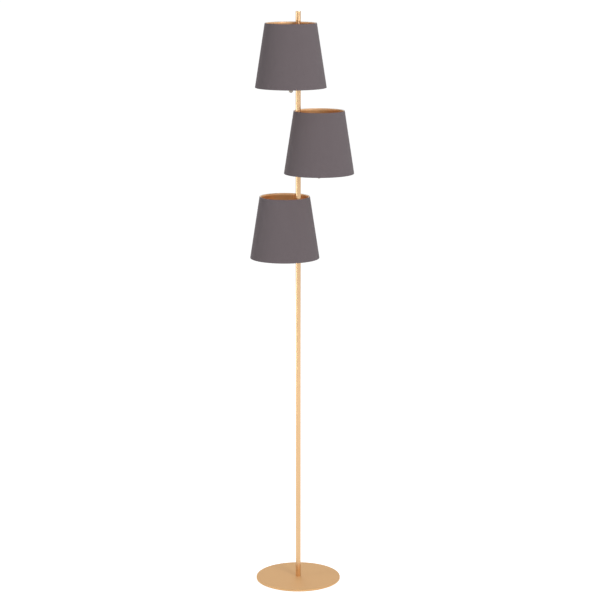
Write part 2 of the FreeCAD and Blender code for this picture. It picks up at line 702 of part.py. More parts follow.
def make_head_lead(index):
    """Lead from the hub's chamber through the arm and up into the lampholder."""
    body = new_body("head_lead_%d" % (index + 1))
    start = "(Sizes.stem_diameter / 2 + Sizes.lead_entry_gap)"
    turn_in = "(Sizes.arm_reach - Sizes.lead_bend)"
    turn_out = "(Sizes.arm_height + Sizes.lead_bend)"
    end = "(%s + Sizes.nipple_height + Sizes.lead_end)" % BLOCK_TOP
    section = new_sketch(body, "YZ_Plane", "run_section", start)
    circle(section, "0", size("arm_height"), half("lead_diameter"))
    extrude(body, "Pad", section, "run", "(%s - %s)" % (turn_in, start))
    # The bend is a quarter turn about a level line above the run's end.
    bend = new_sketch(body, "YZ_Plane", "bend_section", turn_in)
    circle(bend, "0", size("arm_height"), half("lead_diameter"))
    line = bend.addGeometry(Part.LineSegment(Vector(-1, 0, 0), Vector(1, 0, 0)), True)
    bend.addConstraint(Sketcher.Constraint("Horizontal", line))
    bind(bend, "DistanceX", (line, LINE_START), "-1 * Sizes.lead_diameter")
    bind(bend, "DistanceX", (line, LINE_END), size("lead_diameter"))
    bind(bend, "DistanceY", (line, LINE_START), turn_out)
    quarter = body.newObject("PartDesign::Revolution", "bend")
    quarter.Profile = (bend, [""])
    quarter.ReferenceAxis = (bend, ["Axis0"])
    quarter.Angle = 90
    quarter.Reversed = True
    rise = new_sketch(body, "XY_Plane", "rise_section", turn_out)
    circle(rise, size("arm_reach"), "0", half("lead_diameter"))
    extrude(body, "Pad", rise, "rise", "(%s - %s)" % (end, turn_out))
    place(body, head_height(index), turn=head_turn(index))


def on_shade_axis(body, index):
    place(body, head_height(index), size("arm_reach"), head_turn(index))


def make_holder(index):
    """Lampholder: a lower shell, a body with a collar, and a contact insert."""
    number = index + 1
    shell = new_body("holder_shell_%d" % number)
    wall_out = half("holder_diameter")
    wall_in = "(%s - Sizes.holder_wall)" % wall_out
    foot = half("holder_base_foot")
    floor = "(%s + Sizes.holder_base_floor)" % BLOCK_TOP
    bore = "(Sizes.stem_diameter / 2 + Sizes.fit_gap)"
    slope_top = "(%s + Sizes.holder_base_height / 2)" % BLOCK_TOP
    revolve(shell, "shell", [
        (bore, BLOCK_TOP), (foot, BLOCK_TOP), (wall_out, slope_top), (wall_out, SHELL_TOP),
        (wall_in, SHELL_TOP), (wall_in, "(%s + Sizes.holder_wall)" % slope_top),
        ("(%s - Sizes.holder_wall)" % foot, floor), (bore, floor)])
    on_shade_axis(shell, index)

    holder = new_body("holder_body_%d" % number)
    spigot = "(%s - Sizes.fit_gap)" % wall_in
    low = "(%s - Sizes.holder_spigot)" % SHELL_TOP
    seat = half("holder_bore")
    hole = half("holder_ledge_bore")
    collar = half("holder_flange")
    collar_low = "(%s + Sizes.holder_flange_rise)" % SHELL_TOP
    revolve(holder, "holder", [
        (hole, low), (spigot, low), (spigot, SHELL_TOP), (wall_out, SHELL_TOP),
        (wall_out, collar_low), (collar, collar_low), (collar, COLLAR_TOP),
        (wall_out, COLLAR_TOP), (wall_out, HOLDER_TOP), (seat, HOLDER_TOP),
        (seat, LEDGE_TOP), (hole, LEDGE_TOP)])
    on_shade_axis(holder, index)

    insert = new_body("contact_insert_%d" % number)
    disc = "(Sizes.holder_bore / 2 - Sizes.fit_gap)"
    disc_low = "(%s + Sizes.fit_gap)" % LEDGE_TOP
    disc_high = "(%s + Sizes.contact_disc_height)" % disc_low
    button = half("contact_button")
    revolve(insert, "disc", [
        ("0", disc_low), (disc, disc_low), (disc, disc_high), (button, disc_high),
        (button, "(%s - Sizes.fit_gap)" % CONTACT_TOP), ("0", "(%s - Sizes.fit_gap)" % CONTACT_TOP)])
    posts = new_sketch(insert, "XY_Plane", "post_section", disc_low)
    for side in ("", "-"):
        circle(posts, "0", side + size("contact_post_circle"), half("contact_post"))
    extrude(insert, "Pad", posts, "posts", size("contact_post_drop"), reverse=True)
    on_shade_axis(insert, index)


def make_ring_nut(index):
    """Ring that clamps the shade's carrier down on the holder's collar."""
    body = new_body("shade_ring_nut_%d" % (index + 1))
    bore = "(Sizes.holder_diameter / 2 + Sizes.fit_gap)"
    wide = "(Sizes.fitter_diameter / 2 - Sizes.ring_nut_inset)"
    neck = "(%s + Sizes.ring_nut_wall)" % bore
    lip = "(%s + Sizes.ring_nut_lip)" % CARRIER_TOP
    top = "(%s + Sizes.ring_nut_height)" % CARRIER_TOP
    revolve(body, "ring_nut", [
        (bore, CARRIER_TOP), (wide, CARRIER_TOP), (wide, lip), (neck, lip), (neck, top),
        (bore, top)])
    on_shade_axis(body, index)


def make_shade_carrier(index):
    """Fitter plate, three struts and the lower wire ring, welded together."""
    body = new_body("shade_carrier_%d" % (index + 1))
    bore = "(Sizes.holder_diameter / 2 + 2 * Sizes.fit_gap)"
    edge = half("fitter_diameter")
    low = "(%s + Sizes.fit_gap)" % COLLAR_TOP
    high = "(%s + Sizes.fitter_thickness)" % low
    revolve(body, "fitter_plate", [(bore, low), (edge, low), (edge, high), (bore, high)])
    wire = half("lower_wire")
    ring_height = "(Sizes.fabric_thickness + Sizes.fit_gap + %s)" % wire
    ring_radius = shade_radius(ring_height,
                               "Sizes.fabric_thickness + Sizes.fit_gap + %s" % wire)
    strut_height = "(%s + Sizes.fitter_thickness / 2)" % low
    strut_start = "(%s - Sizes.fitter_thickness)" % edge
    run = "(%s - %s)" % (ring_radius, strut_start)
    drop = "(%s - %s)" % (strut_height, ring_height)
    doc.recompute()
    strut = body.newObject("PartDesign::AdditiveCylinder", "strut")
    strut.setExpression("Radius", wire)
    strut.setExpression("Height", "sqrt(%s ^ 2 + %s ^ 2)" % (run, drop))
    strut.Placement = FreeCAD.Placement(Vector(0, 0, 0), FreeCAD.Rotation(Y_AXIS, 90))
    strut.setExpression("Placement.Base.x", strut_start)
    strut.setExpression("Placement.Base.z", strut_height)
    strut.setExpression("Placement.Rotation.Angle", "90 deg + atan(%s / %s)" % (drop, run))
    doc.recompute()
    struts = body.newObject("PartDesign::PolarPattern", "struts")
    struts.Originals = [strut]
    struts.Axis = (origin_feature(body, "Z_Axis"), [""])
    struts.Angle = 360
    struts.setExpression("Occurrences", size("strut_count"))
    body.Tip = struts
    doc.recompute()
    ring(body, "lower_ring", ring_radius, ring_height, wire)
    on_shade_axis(body, index)


def make_upper_ring(index):
    body = new_body("upper_ring_%d" % (index + 1))
    wire = half("upper_wire")
    height = "(Sizes.shade_height - Sizes.fabric_thickness - Sizes.fit_gap - %s)" % wire
    radius = shade_radius(height, "Sizes.fabric_thickness + Sizes.fit_gap + %s" % wire)
    ring(body, "upper_ring", radius, height, wire)
    on_shade_axis(body, index)


def make_shade_cover(index):
    """Tapered fabric wall whose edges turn in under and over the wire rings."""
    body = new_body("shade_cover_%d" % (index + 1))
    thick = size("fabric_thickness")
    top = size("shade_height")
    under_hem = "(Sizes.shade_height - Sizes.fabric_thickness)"
    lower = half("shade_lower_diameter")
    upper = half("shade_upper_diameter")
    lower_hem = "(%s - Sizes.hem_width)" % lower
    upper_hem = "(%s - Sizes.hem_width)" % upper
    revolve(body, "cover", [
        (lower_hem, "0"), (lower, "0"), (upper, top), (upper_hem, top),
        (upper_hem, under_hem), (shade_radius(under_hem, thick), under_hem),
        (shade_radius(thick, thick), thick), (lower_hem, thick)])
    on_shade_axis(body, index)


def make_shade_lining(index):
    """Gold foil on the inside of the cover, from ring to ring."""
    body = new_body("shade_lining_%d" % (index + 1))
    low = "(Sizes.fabric_thickness + Sizes.lower_wire + 2 * Sizes.fit_gap)"
    high = "(Sizes.shade_height - Sizes.fabric_thickness - Sizes.upper_wire - 2 * Sizes.fit_gap)"
    outside = "Sizes.fabric_thickness + Sizes.fit_gap"
    inside = outside + " + Sizes.lining_thickness"
    revolve(body, "lining", [
        (shade_radius(low, outside), low), (shade_radius(high, outside), high),
        (shade_radius(high, inside), high), (shade_radius(low, inside), low)])
    on_shade_axis(body, index)


def make_lamp(index):
    """Pear-shaped lamp: a screw cap, and a thin glass open where the cap holds it."""
    number = index + 1
    cap = new_body("lamp_cap_%d" % number)
    outer = half("lamp_cap_diameter")
    inner = "(%s - Sizes.lamp_cap_wall)" % outer
    contact = half("lamp_contact")
    step = "(%s + Sizes.lamp_cap_step)" % LAMP_FOOT
    floor = "(%s + 2 * Sizes.lamp_cap_wall)" % step
    top = "(%s + Sizes.lamp_cap_height)" % LAMP_FOOT
    revolve(cap, "cap", [
        ("0", LAMP_FOOT), (contact, LAMP_FOOT), (outer, step), (outer, top), (inner, top),
        (inner, floor), ("0", floor)])
    on_shade_axis(cap, index)

    glass = new_body("lamp_glass_%d" % number)
    low = "(%s - Sizes.lamp_neck_overlap)" % top
    crown = "(%s + Sizes.lamp_length)" % LAMP_FOOT
    wall = size("lamp_glass_wall")
    neck = half("lamp_neck_diameter")
    bulge = half("lamp_glass_diameter")
    centre = "(%s - %s)" % (crown, bulge)
    shoulder_sine = "sin(Sizes.lamp_shoulder_angle)"
    shoulder_cosine = "cos(Sizes.lamp_shoulder_angle)"
    shoulder = "(%s - %s * %s)" % (centre, bulge, shoulder_sine)
    side = "(%s * %s)" % (bulge, shoulder_cosine)
    inner_bulge = "(%s - %s)" % (bulge, wall)
    inner_shoulder = "(%s - %s * %s)" % (centre, inner_bulge, shoulder_sine)
    inner_side = "(%s * %s)" % (inner_bulge, shoulder_cosine)
    revolve(glass, "glass", [
        (neck, low), (neck, top), (side, shoulder), ("0", crown),
        ("0", "(%s - %s)" % (crown, wall)), (inner_side, inner_shoulder),
        ("(%s - %s)" % (neck, wall), top), ("(%s - %s)" % (neck, wall), low)],
        {2: (bulge, True, False), 4: (inner_bulge, False, True)})
    on_shade_axis(glass, index)


make_base_plate()
make_base_felt()
make_base_screw()
make_foot_insert()
make_pole_tubes()
make_top_cap()
make_cable_bush()
make_pole_lead()
make_stems()
make_tube_inserts()
make_washers()
make_stop_pins()
for head in range(3):
    make_hub(head)
    make_arm(head)
    make_block(head)
    make_head_lead(head)
    make_holder(head)
    make_ring_nut(head)
    make_shade_carrier(head)
    make_upper_ring(head)
    make_shade_cover(head)
    make_shade_lining(head)
    make_lamp(head)
doc.recompute()

# --------------------------------------------------------------- test and write

for item in doc.Objects:
    if "Invalid" in item.State or "Error" in item.State:
        raise RuntimeError("%s failed: %s" % (item.Name, item.State))
for part in SUB_PARTS:
    if part.Shape.isNull() or not part.Shape.isValid():
        raise RuntimeError(part.Label + " has no valid shape")

os.makedirs("parts", exist_ok=True)
for part in SUB_PARTS:
    part.Shape.exportStep(os.path.join("parts", part.Label + ".step"))
print("%d sub-parts written" % len(SUB_PARTS))
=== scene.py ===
from math import cos, degrees, pi, radians, sin, tau

import bpy
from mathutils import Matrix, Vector


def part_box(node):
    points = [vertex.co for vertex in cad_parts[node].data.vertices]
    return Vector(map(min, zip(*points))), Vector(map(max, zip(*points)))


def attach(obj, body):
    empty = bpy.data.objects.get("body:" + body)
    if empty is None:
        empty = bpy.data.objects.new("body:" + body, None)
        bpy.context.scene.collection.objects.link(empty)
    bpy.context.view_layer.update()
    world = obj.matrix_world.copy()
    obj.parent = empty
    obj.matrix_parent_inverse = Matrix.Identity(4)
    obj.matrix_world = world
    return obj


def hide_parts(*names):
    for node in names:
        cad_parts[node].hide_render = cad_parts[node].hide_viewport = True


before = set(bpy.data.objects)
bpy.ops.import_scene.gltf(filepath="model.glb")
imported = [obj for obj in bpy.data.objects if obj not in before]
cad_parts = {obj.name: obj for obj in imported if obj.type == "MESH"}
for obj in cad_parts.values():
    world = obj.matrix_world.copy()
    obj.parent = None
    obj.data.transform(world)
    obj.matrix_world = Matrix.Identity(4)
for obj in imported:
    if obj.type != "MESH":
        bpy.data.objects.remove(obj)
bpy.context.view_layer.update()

bl_info = {
    "name": "Three-shade floor lamp",
    "version": (1, 0, 0),
    "blender": (4, 5, 0),
    "location": "View3D > Sidebar > Lamp",
    "description": "Dresses a floor lamp with three swivelling fabric shades",
    "category": "Object",
}

HEADS = {1: "top_head", 2: "middle_head", 3: "lower_head"}
MERGE_DISTANCE = 1e-6
LEVEL_TOLERANCE = 1e-5
SHARP_ANGLE = 35.0   # degrees between two faces, over which their edge looks sharp


# ------------------------------------------------------------------ settings

def length(name, text, default):
    """A length in metres."""
    return bpy.props.FloatProperty(name=name, description=text, default=default,
                                   subtype="DISTANCE", unit="LENGTH", precision=5)


def turn(name, text, default):
    """An angle, given in degrees."""
    return bpy.props.FloatProperty(name=name, description=text, default=radians(default),
                                   subtype="ANGLE")


def number(name, text, default, **kind):
    """A plain number, or one with a unit or subtype."""
    return bpy.props.FloatProperty(name=name, description=text, default=default, precision=4,
                                   **kind)


def count(name, text, default):
    """How many there are of something."""
    return bpy.props.IntProperty(name=name, description=text, default=default, min=1)


def colour(name, text, default):
    """A linear red, green and blue."""
    return bpy.props.FloatVectorProperty(name=name, description=text, default=default,
                                         size=3, min=0.0, max=1.0, subtype="COLOR")


class LAMP_PG_shade(bpy.types.PropertyGroup):
    fabric: length("Fabric", "Thickness of the fabric on its backing", 0.0010)
    foil_gap: length("Foil gap", "Glue between the backing and the foil", 0.00005)
    seam_width: length("Seam width", "Overlap of the glued seam", 0.011)
    seam_rise: length("Seam rise", "How far the overlap stands out of the wall", 0.0005)
    segments: count("Segments", "Faces round each shade", 192)
    thread: length("Thread", "Distance from one thread of the weave to the next", 0.0006)
    fabric_colour: colour("Fabric", "Colour of the threads", (0.200, 0.165, 0.175))
    gap_colour: colour("Gaps", "Colour between the threads", (0.105, 0.088, 0.095))


class LAMP_PG_lining(bpy.types.PropertyGroup):
    foil: length("Foil", "Thickness of the gold foil", 0.0004)
    upper_bead: length("Upper bead", "Radius of the foil round the upper wire", 0.0019)
    lower_bead: length("Lower bead", "Radius of the foil round the lower wire", 0.0021)
    lower_wire: length("Lower wire", "Radius of the lower wire", 0.0015)
    # The rim band is a matt strip painted lighter: a painted highlight where light falls just
    # below the upper rim. band_fade is the height over which that painted highlight fades out.
    rim_band: length("Rim band", "Height of the matt strip below the upper rim", 0.008)
    band_fade: length("Band fade", "Height over which the strip wears off", 0.003)
    foil_colour: colour("Foil", "Colour of the gold foil", (0.70, 0.41, 0.20))
    painted_highlight_colour: colour("Band", "Colour of the matt strip", (0.93, 0.60, 0.32))


class LAMP_PG_metal(bpy.types.PropertyGroup):
    gold: colour("Gold", "Colour of the lacquered pole and arms", (0.64, 0.42, 0.23))
    foot_gold: colour("Foot gold", "Colour of the powder coat of the foot", (0.70, 0.425, 0.194))
    # The blocks are given a gold far darker than the pole's, so that their noses below the
    # shades look dark.
    dark_gold: colour("Dark gold", "Colour of the blocks under the shades", (0.27, 0.235, 0.20))
    zinc: colour("Zinc", "Colour of plain steel", (0.52, 0.52, 0.50))


class LAMP_PG_holder(bpy.types.PropertyGroup):
    grip_ribs: count("Grip ribs", "Ribs round each shade ring nut", 36)
    rib_width: length("Rib width", "Width of a rib", 0.0022)
    rib_rise: length("Rib rise", "How far a rib stands out of the ring nut's neck", 0.0011)
    nut_wall: length("Ring nut wall", "Wall of the ring nut's neck round the holder", 0.00265)
    nut_lip: length("Ring nut lip", "Height of the ring nut's lip", 0.002)
    bare_end: length("Bare end", "Length above the thread that has none", 0.002)
    thread_pitch: length("Thread pitch", "Rise of the holder's outer thread in one turn", 0.0028)
    thread_ridge: length("Thread ridge", "Radius of the thread's ridge", 0.0007)


class LAMP_PG_glass(bpy.types.PropertyGroup):
    neck: length("Neck", "Radius of the glass at its foot", 0.0124)
    neck_height: length("Neck height", "Length of the straight neck", 0.004)
    join: turn("Join", "Where the pear meets the sphere, below its middle", 28.0)


class LAMP_PG_stage(bpy.types.PropertyGroup):
    camera_distance: length("Camera distance", "Camera in front of the pole", 5.503)
    camera_height: length("Camera height", "Camera above the floor", 1.945)
    pitch: turn("Pitch", "How far the camera looks down", 11.33)
    focal_pixels: number("Focal length", "Focal length in pixels of the frame", 1924.0,
                         subtype="PIXEL")
    frame_pixels: number("Frame", "Width of the square frame in pixels", 605.0,
                         subtype="PIXEL")
    axis_pixel: number("Axis column", "Pixel column that the camera points at", 298.21,
                       subtype="PIXEL")
    room: number("Room", "Strength of the room's soft light", 0.36)
    key: number("Key", "Power of the softbox at the right", 123.0, unit="POWER")
    side: number("Side", "Power of the tall softbox at the left", 18.0, unit="POWER")
    back: number("Back", "Power of the softbox behind the lamp", 70.0, unit="POWER")


# ----------------------------------------------------------------- node trees

class Nodes:
    """Adds nodes to a tree; a value may be a constant or another node's output."""

    def __init__(self, tree):
        self.tree = tree

    def plug(self, target, value):
        """Link an output to an input, or set the input to a constant."""
        if isinstance(value, bpy.types.NodeSocket):
            self.tree.links.new(value, target)
        else:
            target.default_value = value

    def add(self, kind, *values, options=None, **named):
        """A node with its options, and its inputs in order or by name."""
        made = self.tree.nodes.new(kind)
        for key, value in (options or {}).items():
            setattr(made, key, value)
        inputs = [socket for socket in made.inputs if socket.enabled]
        for socket, value in zip(inputs, values):
            if value is not None:
                self.plug(socket, value)
        for name, value in named.items():
            wanted = name.replace("_", " ")
            self.plug([socket for socket in inputs if socket.name == wanted][0], value)
        return made

    def out(self, kind, *values, options=None, **named):
        """The first output of a new node."""
        made = self.add(kind, *values, options=options, **named)
        return [socket for socket in made.outputs if socket.enabled][0]

    def math(self, operation, *values):
        """The result of a sum or another operation on numbers."""
        return self.out("ShaderNodeMath", *values, options={"operation": operation})


class Shape(Nodes):
    """A Geometry Nodes tree with named inputs, each with its own default."""

    KINDS = {int: "NodeSocketInt", float: "NodeSocketFloat", tuple: "NodeSocketVector",
             None: "NodeSocketMaterial"}

    def __init__(self, name, inputs):
        super().__init__(bpy.data.node_groups.new(name, "GeometryNodeTree"))
        interface = self.tree.interface
        interface.new_socket("Geometry", in_out="INPUT", socket_type="NodeSocketGeometry")
        for label, default in inputs.items():
            kind = None if default is None else type(default)
            socket = interface.new_socket(label, in_out="INPUT", socket_type=self.KINDS[kind])
            if default is not None:
                socket.default_value = default
        interface.new_socket("Geometry", in_out="OUTPUT", socket_type="NodeSocketGeometry")
        self.entry = self.tree.nodes.new("NodeGroupInput")
        self.exit = self.tree.nodes.new("NodeGroupOutput")

    def given(self, label):
        """What the tree's own input of that name holds."""
        return self.entry.outputs[label]

    def close(self, geometry):
        """Move the shape to its centre, realize it and give it its material."""
        moved = self.out("GeometryNodeTransform", geometry, Translation=self.given("Centre"))
        solid = self.out("GeometryNodeRealizeInstances", moved)
        dressed = self.out("GeometryNodeSetMaterial", solid, Material=self.given("Material"))
        self.tree.links.new(dressed, self.exit.inputs["Geometry"])
        return self.tree


def turned(shape, profile, segments, reach, closed=True):
    """Turn a profile, with the radius in X and the height in Y, about Z. It is closed, or
    it starts and ends on the axis. The UV map is in metres: round the shape at the radius
    reach, and up."""
    points = shape.out("GeometryNodeAttributeDomainSize", profile,
                       options={"component": "CURVE"})
    steps = points if closed else shape.math("SUBTRACT", points, 1)
    grid = shape.add("GeometryNodeMeshGrid", 1.0, 1.0, shape.math("ADD", segments, 1),
                     shape.math("ADD", steps, 1))
    place = shape.add("ShaderNodeSeparateXYZ", shape.out("GeometryNodeInputPosition"))
    column = shape.math("ADD", place.outputs["X"], 0.5)
    row = shape.math("MULTIPLY", shape.math("ADD", place.outputs["Y"], 0.5), steps)
    index = shape.math("MODULO", shape.math("ROUND", row), points)
    sample = shape.out("GeometryNodeSampleIndex", profile, Index=index,
                       Value=shape.out("GeometryNodeInputPosition"),
                       options={"data_type": "FLOAT_VECTOR", "domain": "POINT"})
    measure = shape.add("ShaderNodeSeparateXYZ", sample)
    angle = shape.math("MULTIPLY", column, tau)
    point = shape.out("ShaderNodeCombineXYZ",
                      shape.math("MULTIPLY", measure.outputs["X"], shape.math("COSINE", angle)),
                      shape.math("MULTIPLY", measure.outputs["X"], shape.math("SINE", angle)),
                      measure.outputs["Y"])
    # The map is stored at the corners, so that its own seam survives the merge.
    captured = shape.add("GeometryNodeCaptureAttribute", grid.outputs["Mesh"])
    captured.capture_items.new("FLOAT", "Turn")
    shape.tree.links.new(angle, captured.inputs["Turn"])
    bent = shape.out("GeometryNodeSetPosition", captured.outputs["Geometry"], Position=point)
    height = shape.add("ShaderNodeSeparateXYZ", shape.out("GeometryNodeInputPosition"))
    flat = shape.out("ShaderNodeCombineXYZ",
                     shape.math("MULTIPLY", captured.outputs["Turn"], reach),
                     height.outputs["Z"], 0.0)
    mapped = shape.out("GeometryNodeStoreNamedAttribute", bent, Name="UVMap", Value=flat,
                       options={"data_type": "FLOAT2", "domain": "CORNER"})
    return shape.out("GeometryNodeMergeByDistance", mapped, Distance=MERGE_DISTANCE)


def set_inputs(modifier, values):
    """Set a modifier's inputs by the sockets' identifiers."""
    for item in modifier.node_group.interface.items_tree:
        if item.in_out == "INPUT" and item.name in values:
            modifier[item.identifier] = values[item.name]


def grow(name, tree, values, body, stands_for=(), source=None, sharp=SHARP_ANGLE):
    """Run a tree on its source and keep the result as one plain mesh on a body."""
    mesh = source or bpy.data.meshes.new(name)
    piece = bpy.data.objects.new(name, mesh)
    bpy.context.scene.collection.objects.link(piece)
    modifier = piece.modifiers.new("shape", "NODES")
    modifier.node_group = tree
    set_inputs(modifier, values)
    graph = bpy.context.evaluated_depsgraph_get()
    result = bpy.data.meshes.new_from_object(piece.evaluated_get(graph), depsgraph=graph)
    piece.modifiers.remove(modifier)
    piece.data = result
    result.name = name
    if not result.polygons:
        raise RuntimeError(name + " came out empty")
    result.materials.clear()
    result.materials.append(values["Material"])
    for polygon in result.polygons:
        polygon.material_index = 0
        polygon.use_smooth = True
    result.set_sharp_from_angle(angle=radians(sharp))
    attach(piece, body)
    if stands_for:
        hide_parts(*stands_for)
    return piece


def profile_mesh(name, points, closed=True):
    """An outline of (radius, height) points as a mesh of edges."""
    mesh = bpy.data.meshes.new(name)
    sides = len(points) if closed else len(points) - 1
    edges = [(side, (side + 1) % len(points)) for side in range(sides)]
    mesh.from_pydata([(radius, height, 0.0) for radius, height in points], edges, [])
    return mesh


# ----------------------------------------------------------------- materials

class Shader(Nodes):
    """A material whose Principled shader the caller fills in."""

    def __init__(self, name):
        self.material = bpy.data.materials.new(name)
        self.material.use_nodes = True
        super().__init__(self.material.node_tree)
        self.principled = self.tree.nodes["Principled BSDF"]

    def set(self, **values):
        """Constants or links on the shader's own sockets."""
        for key, value in values.items():
            socket = self.principled.inputs[key.replace("_", " ")]
            self.plug(socket, (*value, 1.0) if isinstance(value, tuple) and
                      socket.type == "RGBA" else value)

    def space(self, scale=(1.0, 1.0, 1.0), kind="Object"):
        """Coordinates on the piece; a scale under 1 draws a pattern out along its axis."""
        source = self.add("ShaderNodeTexCoord")
        return self.out("ShaderNodeMapping", source.outputs[kind], Scale=scale)

    def noise(self, where, scale, detail=3.0, roughness=0.5):
        """Cloudy noise, from 0 to 1, with scale waves to a metre."""
        return self.out("ShaderNodeTexNoise", where, Scale=scale, Detail=detail,
                        Roughness=roughness)

    def spread(self, value, low, high):
        """A value of 0 to 1 spread between low and high."""
        return self.out("ShaderNodeMapRange", value, To_Min=low, To_Max=high)

    def blend(self, factor, first, second):
        """From the first colour at 0 to the second at 1."""
        ends = [(*value, 1.0) if isinstance(value, tuple) else value
                for value in (first, second)]
        return self.out("ShaderNodeMix", factor, *ends, options={"data_type": "RGBA"})

    def vary(self, factor, tone, low, high):
        """From a tone times low to the same tone times high."""
        return self.blend(factor, scaled(tone, low), scaled(tone, high))

    def bump(self, height, strength, distance):
        """Raise the surface's look by a height of 0 to 1."""
        self.set(Normal=self.out("ShaderNodeBump", Strength=strength, Distance=distance,
                                 Height=height))


def scaled(tone, factor):
    """A colour made darker or lighter."""
    return tuple(min(1.0, part * factor) for part in tone)


def settings(group):
    """The scene's values of one group."""
    return getattr(bpy.context.scene, "lamp_" + group)


def lacquered_metal(name, tone, roughness):
    """Satin lacquer on drawn or turned metal: fine marks along Z and slow clouds."""
    made = Shader(name)
    marks = made.noise(made.space((1.0, 1.0, 0.02)), scale=1700.0, detail=2.0, roughness=0.6)
    clouds = made.noise(made.space(), scale=6.0)
    made.set(Metallic=0.92, Coat_Weight=0.15, Coat_Roughness=0.2,
             Base_Color=made.vary(clouds, tone, 0.97, 1.03),
             Roughness=made.spread(marks, roughness - 0.03, roughness + 0.03))
    made.bump(marks, strength=0.004, distance=0.0002)
    return made.material


def powder_coat(name, tone):
    """Matt gold powder coat: an even fine grain that scatters the light."""
    made = Shader(name)
    grain = made.noise(made.space(), scale=1300.0, detail=2.0, roughness=0.6)
    clouds = made.noise(made.space(), scale=4.0, detail=4.0)
    made.set(Metallic=0.5, Specular_IOR_Level=0.4,
             Base_Color=made.vary(clouds, tone, 0.97, 1.03),
             Roughness=made.spread(grain, 0.52, 0.64))
    made.bump(grain, strength=0.10, distance=0.0003)
    return made.material


def plain_steel(name, tone):
    """Bare or plated steel with a fine drawn grain."""
    made = Shader(name)
    grain = made.noise(made.space((1.0, 1.0, 0.15)), scale=800.0, detail=2.0)
    made.set(Metallic=1.0, Roughness=made.spread(grain, 0.26, 0.40),
             Base_Color=made.vary(grain, tone, 0.9, 1.08))
    made.bump(grain, strength=0.06, distance=0.0002)
    return made.material


def woven_fabric(name):
    """Plain weave with slubs, on a map in metres round and up the shade."""
    made = Shader(name)
    shade = settings("shade")
    flat = made.add("ShaderNodeSeparateXYZ", made.space(kind="UV"))
    across, up = flat.outputs["X"], flat.outputs["Y"]
    turns = pi / shade.thread
    threads = []
    sides = []
    for way in (across, up):
        phase = made.math("MULTIPLY", way, turns)
        threads.append(made.math("ABSOLUTE", made.math("SINE", phase)))
        sides.append(made.math("SINE", made.math("MULTIPLY", way, turns / 2)))
    over = made.math("GREATER_THAN", made.math("MULTIPLY", *sides), 0.0)
    weave = made.out("ShaderNodeMix", over, *threads, options={"data_type": "FLOAT"})
    level = made.noise(made.space((1.0, 14.0, 1.0), "UV"), scale=48.0, roughness=0.6)
    upright = made.noise(made.space((14.0, 1.0, 1.0), "UV"), scale=48.0, roughness=0.6)
    slubs = made.math("MULTIPLY", made.math("ADD", level, upright), 0.5)
    threads_colour = made.vary(slubs, shade.fabric_colour, 0.88, 1.12)
    made.set(Base_Color=made.blend(made.math("MULTIPLY", weave, 0.85),
                                   tuple(shade.gap_colour), threads_colour),
             Roughness=made.spread(slubs, 0.84, 0.96), Specular_IOR_Level=0.12,
             Sheen_Weight=0.12, Sheen_Roughness=0.6)
    made.bump(made.math("ADD", weave, made.math("MULTIPLY", slubs, 0.8)), strength=0.3,
              distance=0.00025)
    return made.material


def gold_foil(name):
    """Gold foil on card: a soft mirror with the slow waves of a rolled sheet, and a matt strip
    below the upper rim, rolled over the wire and painted lighter as a painted highlight."""
    made = Shader(name)
    lining = settings("lining")
    band_foot = middle_of("shade_cover_1")[2] - lining.rim_band
    up = made.add("ShaderNodeSeparateXYZ", made.space(kind="UV")).outputs["Y"]
    strip = made.out("ShaderNodeMapRange", up, band_foot, band_foot + lining.band_fade, 0.0,
                     1.0)
    waves = made.noise(made.space((1.0, 1.0, 0.3)), scale=30.0, roughness=0.55)
    grain = made.noise(made.space(), scale=1200.0, detail=2.0)
    foil = made.vary(waves, lining.foil_colour, 0.95, 1.03)
    # The strip is matt, and its lighter colour is a painted highlight below the upper rim.
    made.set(Base_Color=made.blend(strip, foil, tuple(lining.painted_highlight_colour)),
             Metallic=made.spread(strip, 0.9, 0.2), Roughness=made.spread(grain, 0.30, 0.40),
             Coat_Weight=0.5, Coat_Roughness=0.25)
    made.bump(made.math("ADD", made.math("MULTIPLY", waves, 5.0), grain), strength=0.10,
              distance=0.0004)
    return made.material


def moulded_plastic(name, tone, roughness=0.42):
    """Plastic or ceramic with a slight moulded grain."""
    made = Shader(name)
    grain = made.noise(made.space(), scale=1000.0, detail=2.0)
    clouds = made.noise(made.space(), scale=40.0, detail=2.0)
    made.set(Specular_IOR_Level=0.45, Base_Color=made.vary(clouds, tone, 0.9, 1.08),
             Roughness=made.spread(grain, roughness - 0.05, roughness + 0.08))
    made.bump(grain, strength=0.08, distance=0.0002)
    return made.material


def pressed_felt(name):
    """Dark pressed felt with loose fibres."""
    made = Shader(name)
    fibres = made.noise(made.space((1.0, 1.0, 2.0)), scale=700.0, detail=5.0, roughness=0.7)
    made.set(Roughness=0.95, Specular_IOR_Level=0.1, Sheen_Weight=0.3,
             Base_Color=made.blend(fibres, (0.012, 0.012, 0.013), (0.055, 0.053, 0.05)))
    made.bump(fibres, strength=0.5, distance=0.0005)
    return made.material


def opal_glass(name):
    """Opal glass of an unlit lamp: a milky body under a clear, smooth skin."""
    made = Shader(name)
    clouds = made.noise(made.space(), scale=22.0, detail=2.0)
    made.set(Specular_IOR_Level=0.5, Coat_Weight=0.4, Coat_Roughness=0.06,
             Base_Color=made.blend(clouds, (0.80, 0.79, 0.75), (0.86, 0.85, 0.82)),
             Roughness=made.spread(clouds, 0.22, 0.30), Subsurface_Weight=0.2,
             Subsurface_Scale=0.004)
    return made.material


